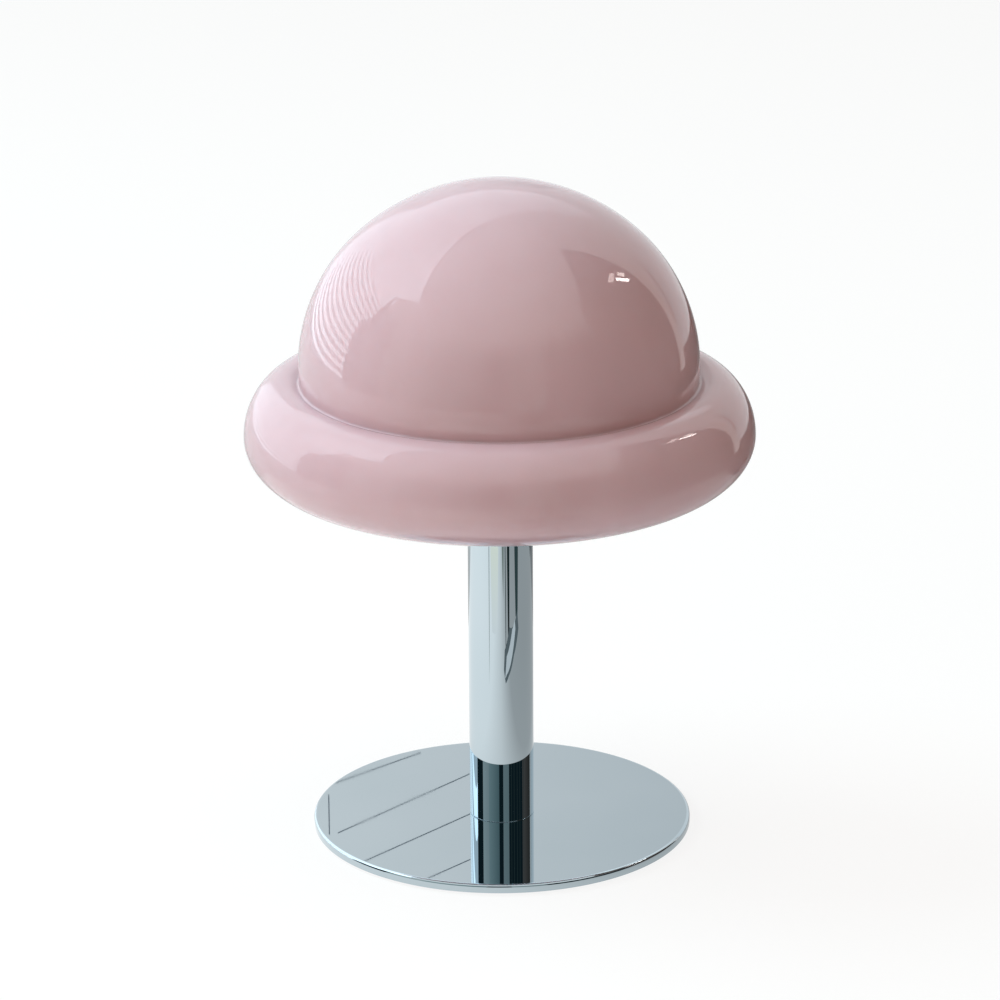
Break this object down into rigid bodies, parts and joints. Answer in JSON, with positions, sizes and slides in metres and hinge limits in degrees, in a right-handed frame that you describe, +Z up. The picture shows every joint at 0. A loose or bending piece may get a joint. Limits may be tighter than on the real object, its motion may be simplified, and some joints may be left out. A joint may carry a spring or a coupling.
{
  "type": "mushroom table lamp",
  "caption": "Table lamp: blown glass dome shade with a fat rolled brim, on a slim chromed column and a thin round chromed foot.",
  "frame": {"origin": "centre of the underside of the foot's pad, on the surface the lamp stands on", "axes": "+Z up along the column, -Y towards the front, +Y towards the cord outlet at the back"},
  "size_m": [0.25, 0.25, 0.33],
  "materials": {
    "opal_glass": "glossy cased opal glass, dusty pink, with soft blown-glass waviness",
    "chrome": "mirror-polished chrome plate",
    "zinc_steel": "bright zinc plate",
    "nickel": "nickel plate",
    "brass": "satin",
    "pad_foam": "matte closed-cell foam",
    "gasket_silicone": "matte translucent silicone",
    "gland_nylon": "satin nylon",
    "connector_nylon": "natural nylon",
    "live_insulation": "brown insulation",
    "neutral_insulation": "blue insulation",
    "holder_plastic": "moulded thermoplastic",
    "porcelain": "glazed white insulator",
    "bulb_white": "satin white",
    "bulb_black": "glossy black insulator",
    "bulb_diffuser": "frosted opal diffuser",
    "led_plate_aluminium": "white solder mask",
    "led_phosphor": "yellow phosphor",
    "circuit_board": "green board"
  },
  "bodies": {
    "stand": {"foot_pad": "pad_foam", "foot_disc": "chrome", "foot_plug": "zinc_steel", "foot_screws": "zinc_steel", "column_tube": "chrome", "top_plug": "zinc_steel", "cord_gland": "gland_nylon", "connector_block": "connector_nylon", "connector_terminals": "brass", "connector_screws": "zinc_steel", "lead_live": "live_insulation", "lead_neutral": "neutral_insulation", "threaded_stem": "zinc_steel", "shade_plate": "chrome", "shade_gasket": "gasket_silicone", "lock_washer": "zinc_steel", "stem_nut": "brass", "holder_cap": "holder_plastic", "holder_grub_screw": "zinc_steel", "holder_insert": "porcelain", "live_terminal": "brass", "neutral_terminal": "brass", "holder_terminal_screws": "zinc_steel", "holder_shell": "nickel", "centre_contact_spring": "brass", "holder_sleeve": "holder_plastic"},
    "shade": {"glass_dome": "opal_glass", "glass_brim": "opal_glass"},
    "bulb_base": {"bulb_cap": "nickel", "bulb_insulator": "bulb_black", "bulb_contact": "nickel"},
    "bulb": {"bulb_housing": "bulb_white", "driver_board": "circuit_board", "led_plate": "led_plate_aluminium", "led_chips": "led_phosphor", "bulb_globe": "bulb_diffuser"}
  },
  "joints": [
    {"name": "shade_lift", "type": "slide", "parent": "stand", "child": "shade", "axis": [0, 0, 1], "range_m": [0, 0.14]},
    {"name": "bulb_rise", "type": "slide", "parent": "stand", "child": "bulb_base", "axis": [0, 0, 1], "range_m": [0, 0.0146]},
    {"name": "bulb_turn", "type": "hinge", "parent": "bulb_base", "child": "bulb", "pos_m": [0, 0, 0.25], "axis": [0, 0, 1], "range_deg": [0, 1440]}
  ],
  "couplings": [
    {"joint": "bulb_rise", "follows": "bulb_turn", "m_per_rad": 0.0005777}
  ]
}
